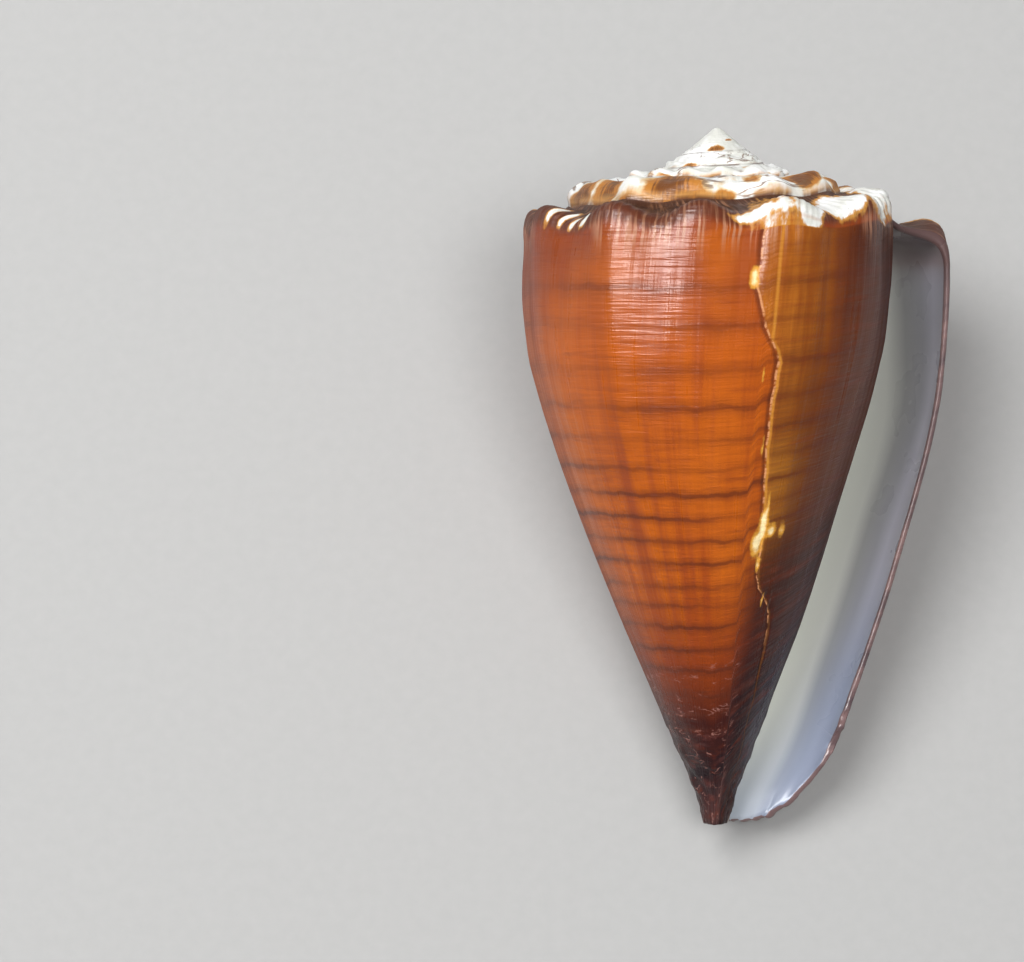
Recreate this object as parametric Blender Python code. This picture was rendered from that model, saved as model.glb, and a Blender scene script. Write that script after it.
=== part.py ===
import math

import bmesh
import bpy
import numpy as np
from mathutils import Matrix, Vector

# A right-handed cone shell with knobs along its shoulder. It is worked out standing on its
# coiling axis, apex up, and then laid on its back with the long opening facing up.
# Turn angles are in degrees: 0 is the lip's edge and older shell has lower angles.
# Depths run from the apex down the axis. Depths and radii below are in millimetres.
MM = 0.001

ROWS_PER_TURN = 72
FIRST_ANGLE = -1620.0
CAVITY_ANGLE = 270.0
NOTCH_ANGLE = -100.0

# Where the shoulder of each whorl runs between its knobs, by turn angle.
SHOULDER_ANGLES = (-1980.0, -360.0, -180.0, 0.0)
SHOULDER_RADII = (3.6, 14.4, 16.1, 20.0)
SHOULDER_DEPTH_ANGLES = (-1980.0, -1620.0, -1440.0, -1080.0, -720.0, -540.0, -360.0, -180.0, 0.0)
SHOULDER_DEPTHS = (2.7, 3.7, 4.1, 5.0, 6.0, 6.8, 7.7, 9.0, 10.3)

# Radius of the side at four turn angles. The last row is the old wall deep inside.
SIDE_ANGLES = (0.0, -180.0, -360.0, -630.0)
SIDE_DEPTHS = (10.0, 15.0, 20.0, 25.0, 30.0, 35.0, 40.0, 45.0, 50.0, 53.0, 56.0, 58.0, 60.0)
SIDE_RADII = (
    (20.1, 19.9, 19.6, 18.9, 17.7, 16.3, 14.9, 13.3, 11.6, 10.5, 9.3, 8.4, 7.2),
    (16.0, 16.5, 16.0, 14.6, 12.9, 11.0, 9.0, 6.9, 4.7, 3.5, 2.0, 1.3, 0.8),
    (14.8, 14.6, 13.8, 12.4, 10.9, 9.4, 8.0, 6.2, 4.5, 3.5, 2.3, 1.5, 1.1),
    (11.3, 11.0, 9.9, 8.6, 7.3, 6.0, 4.9, 3.8, 2.8, 2.2, 1.6, 1.2, 0.9),
)

# The ramp between suture and shoulder, as shares of its width, its fall and the knobs' height.
RAMP_SHARES = ((0.0, 0.0, 0.0), (0.2, 0.25, 0.1), (0.47, 0.4, 0.45), (0.74, 0.55, 0.95), (0.93, 0.8, 1.0))
# The side below the shoulder, as shares of its height.
SIDE_SHARES = (0.0, 0.07, 0.16, 0.26, 0.36, 0.46, 0.56, 0.66, 0.75, 0.83, 0.90, 0.95, 1.0)
SHOULDER_DROP = 0.03
CEILING_DROP = 0.85

# Turn angles of the knobs on the last whorl, then even steps on the older ones.
KNOB_ANGLES = (15.0, -15.0, -47.0, -77.0, -116.0, -142.0, -165.0, -200.0, -234.0, -262.0, -288.0, -328.0)
OLDER_KNOBS = 45
OLDER_KNOB_STEP = 28.0
# How far a knob rises and stands out, and how much of its rise the suture under it follows, as
# shares of the shoulder's radius. It fades down the side over this many millimetres.
KNOB_RISE = 0.08
KNOB_PUSH = 0.04
KNOB_SUTURE_RISE = 0.045
KNOB_FADE = 5.0
# Knobs start on the young whorls between these turn angles.
FIRST_KNOBS = (-1500.0, -1000.0)

# The base, and how the lip's lower corner is rounded off.
BASE_DEPTH = 59.8
LIP_CORNER_RISE = 6.2
LIP_CORNER_ANGLE = 40.0
TIP_DEPTH = 60.0
# The ring round the apex, as shares of the first whorl's radius and depth.
NIB_RADIUS = 0.42
NIB_DEPTH = 0.36

# It lies on its back, apex end tilted up, on a small worn flat ground this deep.
REST_TILT = 16.2
WORN_DEPTH = 0.12

# The outer wall at the lip's edge, and how many degrees back it reaches its full thickness.
LIP_THICKNESS = 0.5
WALL_THICKNESS = 1.1
THICKENING_ANGLE = 45.0
# Where whorls crowd together, the hollow keeps at least this share of the space between them.
LEAST_HOLLOW_SHARE = 0.35
INNER_CORNER = 0.7

CHESTNUT = (0.40, 0.10, 0.022, 1.0)
ROUGHNESS = 0.28

# How far the growing edge leads (+) or lags (-) at each column, in degrees.
EDGE_LEADS = (-2.0, -3.0, -4.0, -4.0, -3.0, -2.0, -1.0, 0.0, 1.0, 2.0, 2.5, 2.5, 2.5, 2.0, 1.5, 1.0, 0.5, 0.0, 0.0)

SUTURE = 0
SIDE_TOP = len(RAMP_SHARES)
CEILING = SIDE_TOP + 1
BOTTOM = SIDE_TOP + len(SIDE_SHARES)
FLOOR = BOTTOM - 2


def smooth_through(knots, values, at):
    """Value at a place on a smooth line through the knots, with no overshoot between them."""
    at = min(max(at, knots[0]), knots[-1])
    steps = [b - a for a, b in zip(knots, knots[1:])]
    slopes = [(b - a) / step for a, b, step in zip(values, values[1:], steps)]
    tangents = [slopes[0]]
    for before, after in zip(slopes, slopes[1:]):
        tangents.append(2 * before * after / (before + after) if before * after > 0 else 0.0)
    tangents.append(slopes[-1])
    i = min(max(int(np.searchsorted(knots, at)) - 1, 0), len(steps) - 1)
    s = (at - knots[i]) / steps[i]
    return (
        values[i] * (1 + 2 * s) * (1 - s) ** 2
        + values[i + 1] * s * s * (3 - 2 * s)
        + steps[i] * tangents[i] * s * (1 - s) ** 2
        - steps[i] * tangents[i + 1] * s * s * (1 - s)
    )


def ease(share):
    share = min(max(share, 0.0), 1.0)
    return share * share * (3 - 2 * share)


def knob(angle):
    """How much of a knob stands at this turn angle, 0 to 1."""
    older = [KNOB_ANGLES[-1] - OLDER_KNOB_STEP * (i + 1) for i in range(OLDER_KNOBS)]
    centres = (*KNOB_ANGLES, *older)[::-1]
    count = np.interp(angle, centres, range(len(centres)))
    grown = ease((angle - FIRST_KNOBS[0]) / (FIRST_KNOBS[1] - FIRST_KNOBS[0]))
    return grown * (0.5 + 0.5 * math.cos(2 * math.pi * count))


def shoulder_radius(angle):
    logs = [math.log(radius) for radius in SHOULDER_RADII]
    return math.exp(smooth_through(SHOULDER_ANGLES, logs, angle))


def shoulder_depth(angle):
    return smooth_through(SHOULDER_DEPTH_ANGLES, SHOULDER_DEPTHS, angle)


def side_radius(angle, depth):
    """Radius of the smooth side, without knobs."""
    logs = [math.log(np.interp(depth, SIDE_DEPTHS, radii)) for radii in SIDE_RADII]
    return math.exp(smooth_through(SIDE_ANGLES[::-1], logs[::-1], angle))


def side_top(angle):
    """The side's upper end just under the shoulder, where the next whorl's ramp is joined on."""
    radius = shoulder_radius(angle)
    drop = SHOULDER_DROP - KNOB_SUTURE_RISE * knob(angle)
    return radius * (1 + KNOB_PUSH * knob(angle)), shoulder_depth(angle) + drop * radius


def base_depth(angle):
    return BASE_DEPTH - LIP_CORNER_RISE * min(max(1 + angle / LIP_CORNER_ANGLE, 0.0), 1.0) ** 3


def outside(angle, column):
    """Radius and depth of the outer surface at one column of its profile."""
    angle += EDGE_LEADS[column]
    if column < SIDE_TOP:
        inner_radius, inner_depth = side_top(angle - 360.0)
        across, down, raised = RAMP_SHARES[column]
        radius = inner_radius + across * (shoulder_radius(angle) - inner_radius)
        depth = inner_depth + down * (shoulder_depth(angle) - inner_depth)
        raised *= knob(angle)
        return radius * (1 + KNOB_PUSH * raised), depth - KNOB_RISE * shoulder_radius(angle) * raised
    top_radius, top_depth = side_top(angle)
    if column == SIDE_TOP:
        return top_radius, top_depth
    share = SIDE_SHARES[column - CEILING]
    start = shoulder_depth(angle) + SHOULDER_DROP * shoulder_radius(angle) + CEILING_DROP
    depth = start + share * (base_depth(angle) - start)
    fade = math.exp(-((depth - start) / KNOB_FADE))
    smooth = side_radius(angle, depth)
    smooth += (shoulder_radius(angle) - side_radius(angle, start)) * fade
    return smooth * (1 + KNOB_PUSH * knob(angle) * fade), depth


def inside(angle, column):
    """Radius and depth of the outer wall's inner face, beside the same column outside."""
    thickness = LIP_THICKNESS
    thickness += (WALL_THICKNESS - LIP_THICKNESS) * ease(-angle / THICKENING_ANGLE)
    angle += EDGE_LEADS[column]
    suture_radius, suture_depth = side_top(angle - 360.0)
    if column < SIDE_TOP:
        across, down, _ = RAMP_SHARES[column]
        radius = suture_radius + across * (shoulder_radius(angle) - thickness - suture_radius)
        return radius, suture_depth + down * (shoulder_depth(angle) - suture_depth) + thickness
    top = shoulder_depth(angle) + SHOULDER_DROP * shoulder_radius(angle) + INNER_CORNER * thickness
    if column == SIDE_TOP:
        return shoulder_radius(angle) - thickness, top
    share = SIDE_SHARES[column - CEILING]
    depth = top + CEILING_DROP + share * (base_depth(angle) - top - CEILING_DROP)
    outer = side_radius(angle, depth)
    core = side_radius(angle - 360.0, depth)
    return core + max(outer - thickness - core, LEAST_HOLLOW_SHARE * (outer - core)), depth


def standing(angle, radius, depth):
    """A point of the shell standing on its axis, in metres."""
    turn = math.radians(-angle)
    return Vector((radius * math.cos(turn), radius * math.sin(turn), -depth)) * MM


def row_angles(first, last):
    step = 360.0 / ROWS_PER_TURN
    return [first + step * i for i in range(round((last - first) / step) + 1)]


bpy.context.scene.unit_settings.system = "METRIC"
for old in list(bpy.data.objects):
    bpy.data.objects.remove(old)

shell = bmesh.new()
rows = row_angles(FIRST_ANGLE, 0.0)
lip = len(rows) - 1
last_whorl = lip - ROWS_PER_TURN
cavity_rows = round(CAVITY_ANGLE / 360.0 * ROWS_PER_TURN)
cavity_end = lip - cavity_rows
core_end = cavity_end - ROWS_PER_TURN
notch = lip + round(NOTCH_ANGLE / 360.0 * ROWS_PER_TURN)
old_notch = notch - ROWS_PER_TURN


def new_point(angle, column, place):
    radius, depth = place(angle, column)
    return shell.verts.new(standing(angle + EDGE_LEADS[column], radius, depth))


# Outer surface: the ramp and shoulder of every whorl, and the side of the last one carried on
# inwards as the old wall that the whorl is wound on. Each suture's points belong to both whorls.
outer = []
for i, angle in enumerate(rows):
    lowest = SIDE_TOP if i < core_end else FLOOR if i < old_notch else BOTTOM
    points = [new_point(angle, column, outside) for column in range(1, lowest + 1)]
    if i < ROWS_PER_TURN:
        outer.append([new_point(angle, SUTURE, outside), *points])
    else:
        outer.append([outer[i - ROWS_PER_TURN][SIDE_TOP], *points])

# Inner face of the last whorl's wall. Its ceiling starts from the old wall under the suture.
inner = {}
for i in range(cavity_end, lip + 1):
    lowest = FLOOR if i < notch else BOTTOM
    points = [new_point(rows[i], column, inside) for column in range(1, lowest + 1)]
    inner[i] = [outer[i - ROWS_PER_TURN][CEILING], *points]


def strip(first, second, columns):
    for column in columns:
        shell.faces.new((first[column], first[column + 1], second[column + 1], second[column]))


for i in range(lip):
    strip(outer[i], outer[i + 1], range(SUTURE, SIDE_TOP))
    if i >= last_whorl:
        strip(outer[i], outer[i + 1], range(SIDE_TOP, BOTTOM))
    elif i >= core_end:
        strip(outer[i], outer[i + 1], range(CEILING, FLOOR if i < old_notch else BOTTOM))

for i in range(cavity_end, lip):
    core, next_core = outer[i - ROWS_PER_TURN], outer[i + 1 - ROWS_PER_TURN]
    if i < notch:
        strip(inner[i], inner[i + 1], range(SUTURE, FLOOR))
        shell.faces.new((inner[i][FLOOR], inner[i + 1][FLOOR], next_core[FLOOR], core[FLOOR]))
    else:
        strip(inner[i], inner[i + 1], range(SUTURE, BOTTOM))
        shell.faces.new((inner[i][BOTTOM], inner[i + 1][BOTTOM], outer[i + 1][BOTTOM], outer[i][BOTTOM]))

# The lip's edge, the step at the notch, and the far end of the hollow.
strip(outer[lip], inner[lip], range(SUTURE, BOTTOM))
strip(inner[notch], outer[old_notch], range(FLOOR, BOTTOM))
strip(inner[cavity_end], outer[core_end], range(CEILING + 1, FLOOR))
shell.faces.new([*inner[cavity_end][: CEILING + 2], outer[core_end][CEILING + 1]])


def fan(ring, tip):
    for a, b in zip(ring, ring[1:] + ring[:1]):
        shell.faces.new((a, b, tip))


# The tip, closed round the axis.
base = [outer[i][BOTTOM] for i in range(old_notch, notch + 1)]
fan([*base, inner[notch][BOTTOM]], shell.verts.new(standing(0.0, 0.0, TIP_DEPTH)))

# The youngest whorls are a smooth rounded cone.
start = [outer[i][SUTURE] for i in range(ROWS_PER_TURN)] + outer[0][:0:-1]
cone = [shell.verts.new(Vector((p.co.x * NIB_RADIUS, p.co.y * NIB_RADIUS, p.co.z * NIB_DEPTH))) for p in start]
for i, point in enumerate(start):
    after = (i + 1) % len(start)
    shell.faces.new((point, start[after], cone[after], cone[i]))
fan(cone, shell.verts.new(standing(0.0, 0.0, 0.0)))

# Laid on its back and set on the ground, the middle of its outline over the origin.
shell.transform(Matrix.Rotation(math.radians(REST_TILT - 90.0), 4, "X"))
spans = [(min(p.co[axis] for p in shell.verts), max(p.co[axis] for p in shell.verts)) for axis in range(3)]
middle = Vector((sum(spans[0]) / 2, sum(spans[1]) / 2, spans[2][0] + WORN_DEPTH * MM))
shell.transform(Matrix.Translation(-middle))
bmesh.ops.bisect_plane(
    shell,
    geom=[*shell.verts, *shell.edges, *shell.faces],
    plane_co=(0.0, 0.0, 0.0),
    plane_no=(0.0, 0.0, -1.0),
    clear_outer=True,
)
bmesh.ops.holes_fill(shell, edges=[edge for edge in shell.edges if edge.is_boundary], sides=0)
bmesh.ops.recalc_face_normals(shell, faces=shell.faces)

glossy_shell = bpy.data.materials.new("glossy chestnut shell")
glossy_shell.use_nodes = True
surface = glossy_shell.node_tree.nodes["Principled BSDF"]
surface.inputs["Base Color"].default_value = CHESTNUT
surface.inputs["Roughness"].default_value = ROUGHNESS

mesh = bpy.data.meshes.new("cone_shell")
shell.to_mesh(mesh)
shell.free()
mesh.shade_smooth()
cone_shell = bpy.data.objects.new("cone_shell", mesh)
cone_shell.data.materials.append(glossy_shell)
collection = bpy.data.collections.new("cone shell")
bpy.context.scene.collection.children.link(collection)
collection.objects.link(cone_shell)
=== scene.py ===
import math

import bmesh
import bpy
import numpy as np
from mathutils import Matrix, Vector


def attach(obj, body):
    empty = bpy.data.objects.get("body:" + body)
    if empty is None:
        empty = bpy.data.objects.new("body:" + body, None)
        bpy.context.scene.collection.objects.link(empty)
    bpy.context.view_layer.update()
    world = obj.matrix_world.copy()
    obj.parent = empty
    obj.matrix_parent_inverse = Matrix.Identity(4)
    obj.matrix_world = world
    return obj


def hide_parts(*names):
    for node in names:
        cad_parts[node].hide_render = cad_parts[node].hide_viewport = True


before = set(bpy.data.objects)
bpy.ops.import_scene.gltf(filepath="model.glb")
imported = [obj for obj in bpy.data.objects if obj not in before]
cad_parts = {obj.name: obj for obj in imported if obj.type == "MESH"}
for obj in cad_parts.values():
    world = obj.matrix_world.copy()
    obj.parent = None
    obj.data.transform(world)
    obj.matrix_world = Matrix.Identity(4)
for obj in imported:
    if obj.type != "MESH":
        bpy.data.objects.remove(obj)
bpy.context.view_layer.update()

# Wound shell: one wall of hard, glossy chalky layers, which the animal laid down at the lip as
# it grew and wound round one axis. It lies loose on its back, with nothing fixed to it.

# The wall is drawn as rows, one for each small step of growth, and columns that run from the
# suture over the knobbed shoulder and down to the base. Turn angles are in degrees, 0 at the lip
# and lower where the shell is older. Depths from the apex down the axis, and radii, are in
# millimetres.
MM = 0.001
FULL_TURN = 360.0
ROWS_IN_A_TURN = 480
OLDEST_ANGLE = -3060.0
HOLLOW_ANGLE = -270.0
NOTCH_ANGLE = -99.0
LIP = round(-OLDEST_ANGLE / FULL_TURN * ROWS_IN_A_TURN)
YOUNG_WHORLS = LIP - 2 * ROWS_IN_A_TURN
LAST_WHORL = LIP - ROWS_IN_A_TURN
HOLLOW_END = LIP + round(HOLLOW_ANGLE / FULL_TURN * ROWS_IN_A_TURN)
NOTCH = LIP + round(NOTCH_ANGLE / FULL_TURN * ROWS_IN_A_TURN)
row_angles = np.linspace(OLDEST_ANGLE, 0.0, LIP + 1)
row_angle = row_angles[:, None]

# The profile: how far the suture, side top, ceiling, floor and base are along it, and how many
# columns lie between them.
SUTURE_AT, SIDE_TOP_AT, CEILING_AT, FLOOR_AT, BASE_AT = 0, 5, 6, 16, 18
RAMP_COLUMNS, CORNER_COLUMNS, SIDE_COLUMNS, BASE_COLUMNS = 20, 4, 50, 10
SIDE_TOP = RAMP_COLUMNS
CEILING = SIDE_TOP + CORNER_COLUMNS
FLOOR = CEILING + SIDE_COLUMNS
BASE = FLOOR + BASE_COLUMNS
profile = np.interp(
    np.arange(BASE + 1),
    (0, SIDE_TOP, CEILING, FLOOR, BASE),
    (SUTURE_AT, SIDE_TOP_AT, CEILING_AT, FLOOR_AT, BASE_AT),
)

# The shoulder's radius and depth as the shell grew, at a few turn angles.
SHOULDER_ANGLES = (
    *(-3420.0, -3060.0, -2880.0, -2520.0, -2160.0, -1800.0, -1440.0, -1080.0),
    *(-900.0, -720.0, -540.0, -360.0, -180.0, 0.0),
)
SHOULDER_RADII = (0.25, 0.45, 0.6, 0.95, 1.5, 2.4, 3.8, 5.9, 7.3, 10.3, 12.35, 14.4, 16.1, 20.0)
SHOULDER_DEPTHS = (0.08, 0.20, 0.34, 0.62, 1.08, 1.8, 2.95, 4.1, 4.5, 5.3, 6.6, 7.65, 9.0, 10.3)

# The side's radius at a few depths, with one row for each turn angle. The first row is the old
# wall deep inside.
SIDE_ANGLES = (-630.0, -360.0, -180.0, 0.0)
SIDE_DEPTHS = (10.0, 15.0, 20.0, 25.0, 30.0, 35.0, 40.0, 45.0, 50.0, 53.0, 56.0, 58.0, 60.0)
SIDE_RADII = (
    (11.3, 11.0, 9.9, 8.6, 7.3, 6.0, 4.9, 3.8, 2.8, 2.2, 1.6, 1.2, 0.9),
    (14.8, 14.6, 13.8, 12.4, 10.9, 9.4, 8.0, 6.2, 4.5, 3.5, 2.3, 1.5, 1.1),
    (16.0, 16.5, 16.0, 14.6, 12.9, 11.0, 9.0, 6.9, 4.7, 3.5, 2.0, 1.3, 0.8),
    (20.1, 19.9, 19.6, 18.9, 17.7, 16.3, 14.9, 13.3, 11.6, 10.5, 9.3, 8.4, 7.2),
)

# The ramp from suture to shoulder, as shares of its width, its fall and the knobs' height. The
# broad whorl before the last falls by the shares in FLAT_DOWN. Then the side, as shares of its
# height.
RAMP_SHARES = (
    (0.0, 0.0, 0.0), (0.2, 0.25, 0.1), (0.47, 0.4, 0.45), (0.74, 0.55, 0.95), (0.93, 0.8, 1.0)
)
FLAT_DOWN = (0.0, 0.0, 0.04, 0.24, 0.66)
SIDE_SHARES = (0.0, 0.07, 0.16, 0.26, 0.36, 0.46, 0.56, 0.66, 0.75, 0.83, 0.90, 0.95, 1.0)
SHOULDER_DROP = 0.03
CEILING_DROP = 0.85

# The middles of the shoulder's knobs. Older ones follow at an even step, and fade on the spire.
# The knobs' rise and push are shares of the shoulder's radius.
KNOB_ANGLES = (
    *(15.0, -15.0, -47.0, -77.0, -116.0, -142.0, -165.0, -200.0),
    *(-234.0, -262.0, -288.0, -328.0, -358.0, -391.0, -425.0, -449.0),
    *(-479.0, -508.0, -535.0, -561.0, -588.0, -618.0, -650.0, -684.0),
)
OLDER_KNOBS = 90
OLDER_KNOB_STEP = 28.0
KNOB_RISE = 0.08
KNOB_PUSH = 0.04
KNOB_SUTURE_RISE = 0.045
KNOB_FADE = 5.0
FIRST_KNOBS = (-1300.0, -850.0)

# The base, the lip's corner and the thickness of the wall.
BASE_DEPTH = 59.8
LIP_CORNER_RISE = 6.2
LIP_CORNER_ANGLE = 40.0
TIP_DEPTH = 60.0
LIP_THICKNESS = 0.5
WALL_THICKNESS = 1.1
THICKENING_ANGLE = 45.0
LEAST_HOLLOW_SHARE = 0.35
INNER_CORNER = 0.7

# How far the growing edge leads (+) or lags (-) along the profile, in degrees.
EDGE_LEADS = (
    *(-2.0, -3.0, -4.0, -4.0, -3.0, -2.0, -1.0, 0.0, 1.0, 2.0),
    *(2.5, 2.5, 2.5, 2.0, 1.5, 1.0, 0.5, 0.0, 0.0),
)


def smooth_through(knots, values, at):
    """A smooth line through the knots, read at each place, with no overshoot between them."""
    knots = np.asarray(knots, float)
    at = np.clip(at, knots[0], knots[-1])
    values = np.asarray(values, float)
    values = np.broadcast_to(values.reshape(len(knots), -1), (len(knots), len(at)))
    slopes = np.diff(values, axis=0) / np.diff(knots)[:, None]
    product, total = slopes[:-1] * slopes[1:], slopes[:-1] + slopes[1:]
    between = np.where(product > 0, 2 * product / np.where(product > 0, total, 1.0), 0.0)
    tangents = np.concatenate([slopes[:1], between, slopes[-1:]])
    i = np.clip(np.searchsorted(knots, at) - 1, 0, len(knots) - 2)
    place = np.arange(len(at))
    step = np.diff(knots)[i]
    s = (at - knots[i]) / step
    return (
        values[i, place] * (1 + 2 * s) * (1 - s) ** 2
        + values[i + 1, place] * s * s * (3 - 2 * s)
        + step * tangents[i, place] * s * (1 - s) ** 2
        - step * tangents[i + 1, place] * s * s * (1 - s)
    )


def ease(share):
    share = np.clip(share, 0.0, 1.0)
    return share * share * (3 - 2 * share)


def knob_count(angle):
    """A whole number at each knob's middle, counted towards the lip."""
    older = [KNOB_ANGLES[-1] - OLDER_KNOB_STEP * (i + 1) for i in range(OLDER_KNOBS)]
    centres = (*KNOB_ANGLES, *older)[::-1]
    return np.interp(angle, centres, range(len(centres)))


def flat_ramp(angle):
    """1 on the broad whorl before the last, whose ramp stays high out to its knobs."""
    return ease((angle + 960.0) / 220.0) * ease((-300.0 - angle) / 90.0)


def knob(angle):
    """1 at a knob's middle and 0 between knobs. The older knobs are of uneven height."""
    grown = ease((angle - FIRST_KNOBS[0]) / (FIRST_KNOBS[1] - FIRST_KNOBS[0]))
    count = knob_count(angle)
    uneven = 1 - flat_ramp(angle) * (0.45 + 0.25 * np.cos(2.4 * count))
    return grown * uneven * (0.5 + 0.5 * np.cos(2 * math.pi * count))


def shoulder_radius(angle):
    return np.exp(smooth_through(SHOULDER_ANGLES, np.log(SHOULDER_RADII), angle))


def shoulder_depth(angle):
    return smooth_through(SHOULDER_ANGLES, SHOULDER_DEPTHS, angle)


def side_radius(angle, depth):
    logs = [np.log(np.interp(depth, SIDE_DEPTHS, radii)) for radii in SIDE_RADII]
    return np.exp(smooth_through(SIDE_ANGLES, np.array(logs), angle))


def stepped(angle):
    """0 on the youngest whorls, which run together into a smooth cone, and 1 on the later ones."""
    return ease((angle + 1500.0) / 520.0)


def side_top(angle):
    """Radius and depth of the side's upper end, where the next whorl's ramp is joined on."""
    radius = shoulder_radius(angle)
    drop = SHOULDER_DROP * stepped(angle) - KNOB_SUTURE_RISE * knob(angle)
    return radius * (1 + KNOB_PUSH * knob(angle)), shoulder_depth(angle) + drop * radius


def base_depth(angle):
    return BASE_DEPTH - LIP_CORNER_RISE * np.clip(1 + angle / LIP_CORNER_ANGLE, 0.0, 1.0) ** 3


def outer_station(angle, station):
    """Radius and depth of the outer face at one station of its profile."""
    if station < SIDE_TOP_AT:
        inner_radius, inner_depth = side_top(angle - FULL_TURN)
        across, down, raised = RAMP_SHARES[station]
        radius = inner_radius + across * (shoulder_radius(angle) - inner_radius)
        down = down + (FLAT_DOWN[station] - down) * flat_ramp(angle)
        down = across + (down - across) * stepped(angle)
        depth = inner_depth + down * (shoulder_depth(angle) - inner_depth)
        raised = raised * knob(angle)
        lift = KNOB_RISE * shoulder_radius(angle) * raised
        return radius * (1 + KNOB_PUSH * raised), depth - lift
    if station == SIDE_TOP_AT:
        return side_top(angle)
    share = SIDE_SHARES[station - CEILING_AT]
    start = shoulder_depth(angle) + SHOULDER_DROP * shoulder_radius(angle) + CEILING_DROP
    depth = start + share * (base_depth(angle) - start)
    fade = np.exp(-((depth - start) / KNOB_FADE))
    smooth = side_radius(angle, depth) + (shoulder_radius(angle) - side_radius(angle, start)) * fade
    return smooth * (1 + KNOB_PUSH * knob(angle) * fade), depth


def inner_station(angle, station, thickness):
    """Radius and depth of the inner face beside the same station of the outer face."""
    suture_radius, suture_depth = side_top(angle - FULL_TURN)
    if station < SIDE_TOP_AT:
        across, down, _ = RAMP_SHARES[station]
        radius = suture_radius + across * (shoulder_radius(angle) - thickness - suture_radius)
        return radius, suture_depth + down * (shoulder_depth(angle) - suture_depth) + thickness
    top = shoulder_depth(angle) + SHOULDER_DROP * shoulder_radius(angle) + INNER_CORNER * thickness
    if station == SIDE_TOP_AT:
        return shoulder_radius(angle) - thickness, top
    share = SIDE_SHARES[station - CEILING_AT]
    depth = top + CEILING_DROP + share * (base_depth(angle) - top - CEILING_DROP)
    outer = side_radius(angle, depth)
    core = side_radius(angle - FULL_TURN, depth)
    return core + np.maximum(outer - thickness - core, LEAST_HOLLOW_SHARE * (outer - core)), depth


def along_profile(stations):
    """Values at every column, on a smooth line through the values at the stations."""
    stations = np.array(stations)
    knots = np.arange(len(stations))
    count = stations.shape[1]
    return np.stack([smooth_through(knots, stations, np.full(count, at)) for at in profile], axis=1)


HEIGHTS_ACROSS = 256
random_heights = np.random.default_rng(7).random((HEIGHTS_ACROSS, HEIGHTS_ACROSS))


def drift(x, y, layer=0):
    """Soft uneven rise and fall between -1 and 1, about one swell for each unit of x and y."""
    x = np.asarray(x, float) + 37.3 * layer
    y = np.asarray(y, float) + 11.7 * layer
    x, y = np.broadcast_arrays(x, y)
    i, j = np.floor(x).astype(int), np.floor(y).astype(int)
    s, t = ease(x - i), ease(y - j)
    i, next_i = i % HEIGHTS_ACROSS, (i + 1) % HEIGHTS_ACROSS
    j, next_j = j % HEIGHTS_ACROSS, (j + 1) % HEIGHTS_ACROSS
    near = random_heights[i, j] * (1 - s) + random_heights[next_i, j] * s
    far = random_heights[i, next_j] * (1 - s) + random_heights[next_i, next_j] * s
    return 2 * (near * (1 - t) + far * t) - 1


def rounded(radius, depth, angle):
    turn = np.radians(-angle)
    return np.stack([radius * np.cos(turn), radius * np.sin(turn), -depth], axis=-1)


def outward(points):
    """The direction square to the surface at each point of a sheet of rows and columns."""
    square = np.cross(np.gradient(points, axis=0), np.gradient(points, axis=1))
    return square / np.maximum(np.linalg.norm(square, axis=2, keepdims=True), 1e-9)


# The lip's edge wanders a little and is chipped near the base. Each chip is given by its depth
# and by how far the edge leads (+) or lags (-) there, in degrees.
LIP_CHIPS = ((49.9, 1.6), (51.4, 3.0), (53.0, -2.4), (54.8, 2.8), (56.0, -2.0), (57.2, 2.2))
leads = np.interp(profile, range(len(EDGE_LEADS)), EDGE_LEADS)
leads = np.convolve(np.pad(leads, 2, mode="edge"), np.full(5, 0.2), mode="valid")
leads[[SUTURE_AT, SIDE_TOP]] = EDGE_LEADS[SIDE_TOP_AT]
stations = [outer_station(row_angles + lead, at) for at, lead in enumerate(EDGE_LEADS)]
radius = along_profile([place[0] for place in stations])
depth = along_profile([place[1] for place in stations])
near_lip = ease(1 + row_angles / 6.0)[:, None]
edge_wander = 0.35 * drift(depth / 2.3, 0.0, 3) + 0.2 * drift(depth / 0.8, 0.0, 4)
edge_wander *= 0.4 + ease((depth - 40.0) / 12.0)
for chip_depth, chip in LIP_CHIPS:
    edge_wander += chip * np.exp(-(((depth - chip_depth) / 0.35) ** 2))
edge_wander[:, : CEILING + 1] = 0.0
angle = row_angle + leads[None, :] + near_lip * edge_wander
wound = rounded(radius, depth, angle)

# Relief of the outer face: growth ridges across the ramp, faint uneven growth lines down the
# side, the healed break with its raised old edge, the late groove behind the lip, and slanting
# wrinkles round the tip.
RIDGE_SPACING = 3.1
RIDGE_HEIGHT = 0.085
SCAR_DEPTHS = (
    *(8.0, 11.8, 12.5, 14.7, 17.2, 19.4, 23.3, 28.0),
    *(33.1, 36.1, 38.3, 39.1, 40.2, 42.1, 48.0),
)
SCAR_ANGLES = (
    *(-280.0, -280.2, -277.7, -280.9, -283.4, -288.5, -286.9, -288.5),
    *(-290.5, -291.2, -291.9, -295.7, -301.8, -304.4, -306.0),
)
SCAR_STEP = 0.16
GROOVE_ANGLE = -35.0
GROOVE_DEPTH = 0.26
WRINKLE_HEIGHT = 0.17
FINE_WRINKLE_HEIGHT = 0.07
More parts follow.
